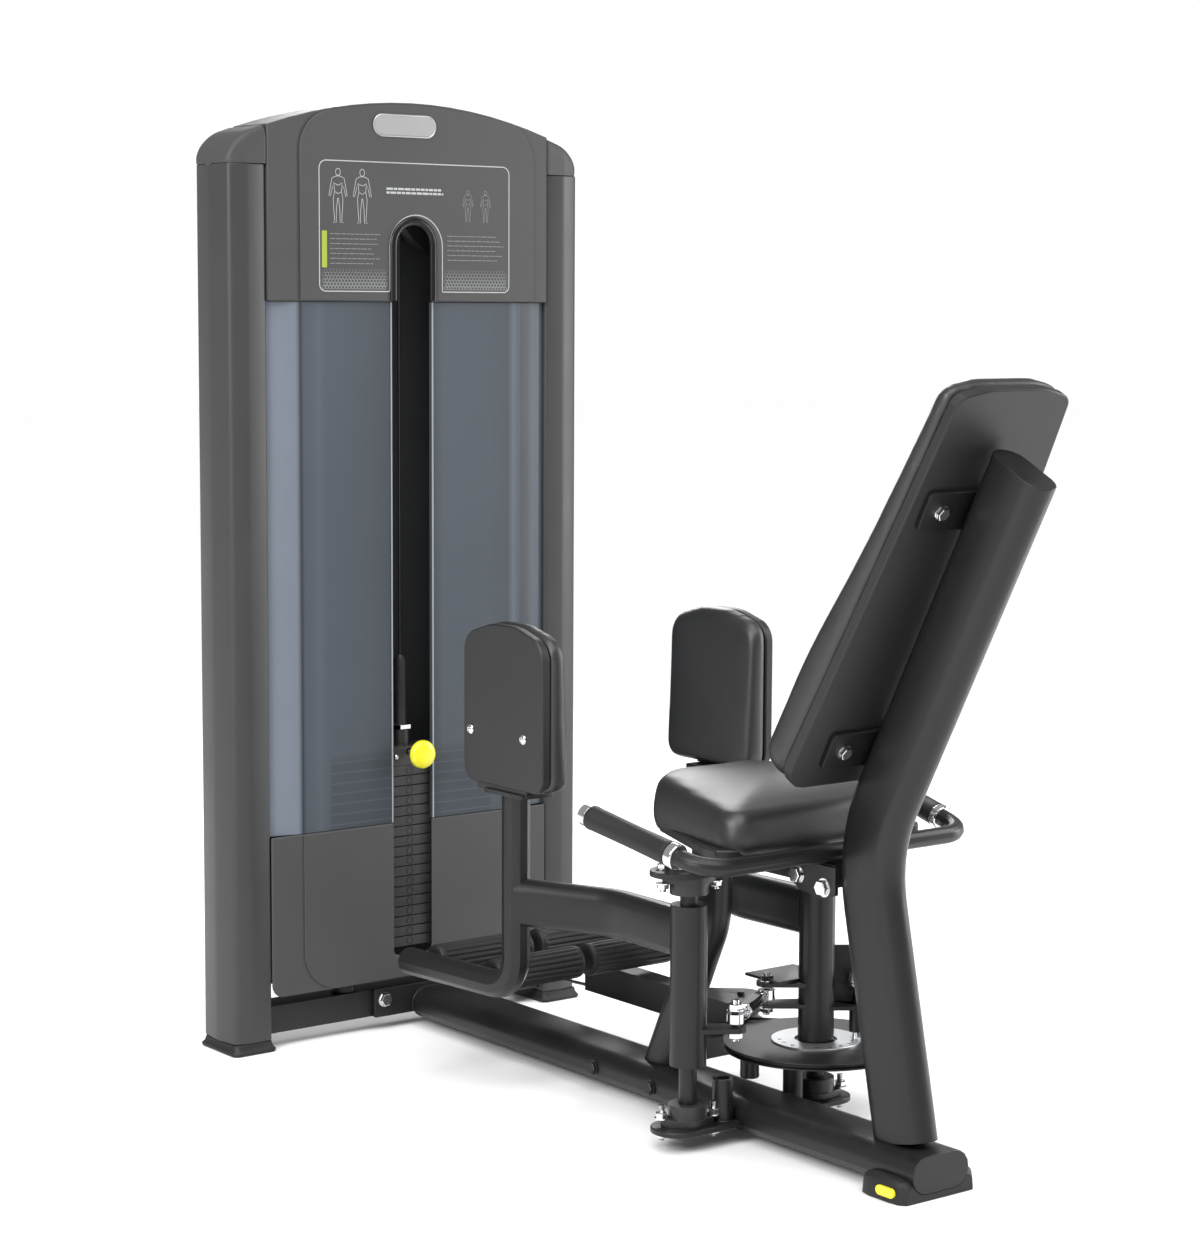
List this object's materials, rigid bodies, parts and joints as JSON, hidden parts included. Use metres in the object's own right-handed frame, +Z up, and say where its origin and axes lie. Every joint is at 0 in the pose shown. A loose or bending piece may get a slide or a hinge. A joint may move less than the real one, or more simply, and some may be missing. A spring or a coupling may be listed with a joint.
{
  "type": "hip abductor machine",
  "caption": "Seated hip abductor machine: weight-stack tower with a seat, reclined backrest, two swinging thigh-pad arms with foot rollers, and a cable drive.",
  "frame": {"origin": "on the floor under the centre of the machine's bounding box, in the mid-plane of the tower", "axes": "+Z up, +Y from the seat towards the tower, +X to the sitter's right"},
  "size_m": [0.668, 1.4256, 1.466],
  "materials": {
    "black_powder_coat": "satin",
    "dark_grey_cover": "satin",
    "smoked_shroud": "gloss",
    "grey_sheet": "matte",
    "black_rubber": "matte",
    "black_iron": "satin",
    "chrome": "polished",
    "black_nylon": "satin",
    "coated_cable": "satin",
    "yellow_plastic": "gloss",
    "black_vinyl": "satin",
    "black_board": "satin"
  },
  "bodies": {
    "machine_frame": {"upright_left": "black_powder_coat", "upright_right": "black_powder_coat", "upright_cap_left": "dark_grey_cover", "upright_cap_right": "dark_grey_cover", "tower_foot_left": "black_rubber", "tower_foot_right": "black_rubber", "base_crossbar": "black_powder_coat", "top_beam": "black_powder_coat", "top_cover": "dark_grey_cover", "lower_cover": "dark_grey_cover", "shroud_left": "smoked_shroud", "shroud_right": "smoked_shroud", "rear_cover": "grey_sheet", "guide_rod_left": "chrome", "guide_rod_right": "chrome", "stack_buffer_left": "black_rubber", "stack_buffer_right": "black_rubber", "weight_stack": "black_iron", "cable_run": "coated_cable", "base_tube": "black_powder_coat", "rear_foot": "black_rubber", "back_post": "black_powder_coat", "seat_frame": "black_powder_coat", "lower_bracket_left": "black_powder_coat", "lower_bracket_right": "black_powder_coat", "bearing_lower_left": "black_iron", "bearing_lower_right": "black_iron", "bearing_upper_left": "black_iron", "bearing_upper_right": "black_iron", "cable_guard": "black_powder_coat", "seat_board": "black_board", "seat_cushion": "black_vinyl", "back_board": "black_board", "back_cushion": "black_vinyl", "handle_bar": "black_powder_coat", "grip_left": "black_rubber", "grip_right": "black_rubber"},
    "left_leg": {"left_sleeve": "black_powder_coat", "left_arm": "black_powder_coat", "left_pad_board": "black_board", "left_pad_cushion": "black_vinyl"},
    "right_leg": {"right_sleeve": "black_powder_coat", "right_arm": "black_powder_coat", "right_pad_board": "black_board", "right_pad_cushion": "black_vinyl", "cam": "black_powder_coat"},
    "pull_pin_body": {"pull_pin": "chrome"},
    "turnbuckle_body": {"turnbuckle": "chrome"},
    "lifting_head": {"head_plate": "black_iron", "cable_drop": "coated_cable"},
    "selector": {"selector_pin": "chrome", "selector_knob": "yellow_plastic"},
    "top_sheave": {"top_pulley": "black_nylon"},
    "bottom_sheave": {"bottom_pulley": "black_nylon"},
    "idler_sheave": {"idler_pulley": "black_nylon"},
    "left_rear_roller": {"left_roller_rear": "black_rubber"},
    "left_front_roller": {"left_roller_front": "black_rubber"},
    "right_rear_roller": {"right_roller_rear": "black_rubber"},
    "right_front_roller": {"right_roller_front": "black_rubber"}
  },
  "joints": [
    {"name": "right_arm_swing", "type": "hinge", "parent": "machine_frame", "child": "right_leg", "pos_m": [0.17, -0.168, 0.2], "axis": [0, 0, -1], "range_deg": [0, 40]},
    {"name": "left_arm_swing", "type": "hinge", "parent": "machine_frame", "child": "left_leg", "pos_m": [-0.066, -0.168, 0.2], "axis": [0, 0, 1], "range_deg": [0, 40]},
    {"name": "stack_lift", "type": "slide", "parent": "machine_frame", "child": "lifting_head", "axis": [0, 0, 1], "range_m": [0, 0.0895], "deforming": ["cable_drop"]},
    {"name": "selector_pin_pull", "type": "slide", "parent": "lifting_head", "child": "selector", "axis": [0, -1, 0], "range_m": [0, 0.045]},
    {"name": "turnbuckle_swivel", "type": "hinge", "parent": "left_leg", "child": "turnbuckle_body", "pos_m": [-0.015, -0.208, 0.181], "axis": [0, 0, 1], "range_deg": [-49, 0]},
    {"name": "pull_pin_lift", "type": "slide", "parent": "right_leg", "child": "pull_pin_body", "axis": [0, 0, 1], "range_m": [0, 0.016], "stiffness_N_per_m": 300, "springref_m": -0.004},
    {"name": "top_pulley_spin", "type": "hinge", "parent": "machine_frame", "child": "top_sheave", "pos_m": [0.084, 0.6675, 1.325], "axis": [-0.2587, 0.9659, 0], "range_deg": [0, 60]},
    {"name": "bottom_pulley_spin", "type": "hinge", "parent": "machine_frame", "child": "bottom_sheave", "pos_m": [0.168, 0.672, 0.0915], "axis": [1, 0, 0], "range_deg": [-286, 0]},
    {"name": "idler_pulley_spin", "type": "hinge", "parent": "machine_frame", "child": "idler_sheave", "pos_m": [0.198, 0.03, 0.1075], "axis": [0, 0, 1], "range_deg": [0, 172]},
    {"name": "left_rear_roller_spin", "type": "hinge", "parent": "left_leg", "child": "left_rear_roller", "pos_m": [-0.048, 0.231, 0.17], "axis": [1, 0, 0], "continuous": true},
    {"name": "left_front_roller_spin", "type": "hinge", "parent": "left_leg", "child": "left_front_roller", "pos_m": [-0.048, 0.361, 0.17], "axis": [1, 0, 0], "continuous": true},
    {"name": "right_rear_roller_spin", "type": "hinge", "parent": "right_leg", "child": "right_rear_roller", "pos_m": [0.152, 0.231, 0.17], "axis": [1, 0, 0], "continuous": true},
    {"name": "right_front_roller_spin", "type": "hinge", "parent": "right_leg", "child": "right_front_roller", "pos_m": [0.152, 0.361, 0.17], "axis": [1, 0, 0], "continuous": true}
  ],
  "couplings": [
    {"joint": "left_arm_swing", "follows": "right_arm_swing", "ratio": 1},
    {"joint": "stack_lift", "follows": "right_arm_swing", "m_per_rad": 0.128},
    {"joint": "turnbuckle_swivel", "follows": "right_arm_swing", "ratio": -1.218},
    {"joint": "top_pulley_spin", "follows": "right_arm_swing", "ratio": 1.4719},
    {"joint": "bottom_pulley_spin", "follows": "right_arm_swing", "ratio": -7.1111},
    {"joint": "idler_pulley_spin", "follows": "right_arm_swing", "ratio": 4.2667}
  ]
}
